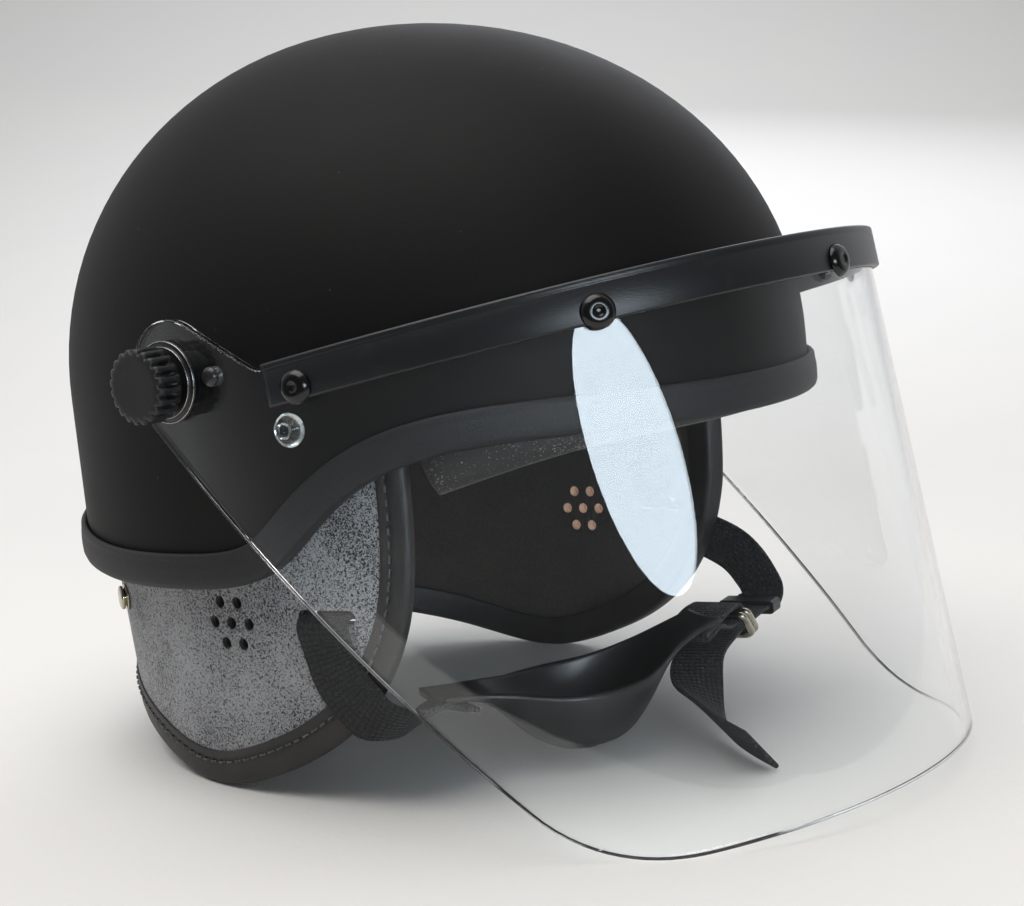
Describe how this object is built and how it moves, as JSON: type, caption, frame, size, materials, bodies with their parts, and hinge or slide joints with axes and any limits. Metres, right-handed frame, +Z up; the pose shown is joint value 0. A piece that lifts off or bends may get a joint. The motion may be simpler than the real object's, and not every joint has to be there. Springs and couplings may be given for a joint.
{
  "type": "police riot helmet",
  "caption": "Open-face protective helmet with a swinging clear visor on side knobs, a stiffened ear and neck curtain, a padded liner and a webbing chin strap with moulded cup.",
  "frame": {"origin": "middle of the base rectangle, on the surface that the helmet stands on", "axes": "+Z up, -Y forward (the way the wearer faces), +X to the wearer's left"},
  "size_m": [0.2884, 0.3452, 0.262],
  "materials": {
    "shell": "matt black paint on moulded glass-fibre shell",
    "trim": "moulded foam rubber with fine grain",
    "liner": "expanded polystyrene foam, black",
    "pad": "knitted cloth over soft foam",
    "brow": "speckled leather over foam",
    "curtain": "grey leathercloth with dark speckle",
    "lining": "brushed lining over foam",
    "binding": "black leather binding, stitched",
    "nickel": "nickel plated steel",
    "clear_sheet": "clear polycarbonate with polished edges",
    "band": "black extruded plastic, satin",
    "rivet": "black lacquered rivet",
    "bumper": "clear soft plastic",
    "steel": "zinc plated screw",
    "spacer": "black nylon",
    "washer": "black plastic with bright edges",
    "knob": "black moulded knob",
    "webbing": "black coarse woven webbing",
    "keeper": "black moulded keeper",
    "cup": "moulded black leather"
  },
  "bodies": {
    "helmet": {"shell": "shell", "edge_trim": "trim", "foam_liner": "liner", "liner_band": "liner", "right_sizing_pad": "pad", "left_sizing_pad": "pad", "front_sizing_pad": "pad", "rear_sizing_pad": "pad", "crown_pad": "pad", "brow_pad": "brow", "ear_neck_curtain": "curtain", "curtain_lining": "lining", "curtain_binding": "binding", "curtain_snaps": "nickel", "right_pivot_screw": "steel", "left_pivot_screw": "steel", "right_visor_spacer": "spacer", "left_visor_spacer": "spacer", "right_pivot_washer": "washer", "left_pivot_washer": "washer", "right_chin_strap": "webbing", "left_chin_strap": "webbing", "d_rings": "nickel", "ring_loop": "webbing", "chin_cup": "cup"},
    "visor": {"visor_lens": "clear_sheet", "visor_band": "band", "band_rivets": "rivet", "right_detent_stud": "rivet", "left_detent_stud": "rivet", "right_visor_bumper": "bumper", "left_visor_bumper": "bumper"},
    "right_knob": {"right_pivot_knob": "knob"},
    "left_knob": {"left_pivot_knob": "knob"},
    "keeper": {"strap_keeper": "keeper"}
  },
  "joints": [
    {"name": "visor_swing", "type": "hinge", "parent": "helmet", "child": "visor", "pos_m": [0, 0.03023, 0.14621], "axis": [-1, 0, 0], "range_deg": [0, 95]},
    {"name": "right_knob_turn", "type": "hinge", "parent": "helmet", "child": "right_knob", "pos_m": [-0.137, 0.03023, 0.14621], "axis": [-1, 0, 0], "range_deg": [0, 180]},
    {"name": "left_knob_turn", "type": "hinge", "parent": "helmet", "child": "left_knob", "pos_m": [0.137, 0.03023, 0.14621], "axis": [1, 0, 0], "range_deg": [0, 180]},
    {"name": "keeper_slide", "type": "slide", "parent": "helmet", "child": "keeper", "axis": [-0.989, -0.1474, -0.0142], "range_m": [-0.004, 0.012]}
  ]
}
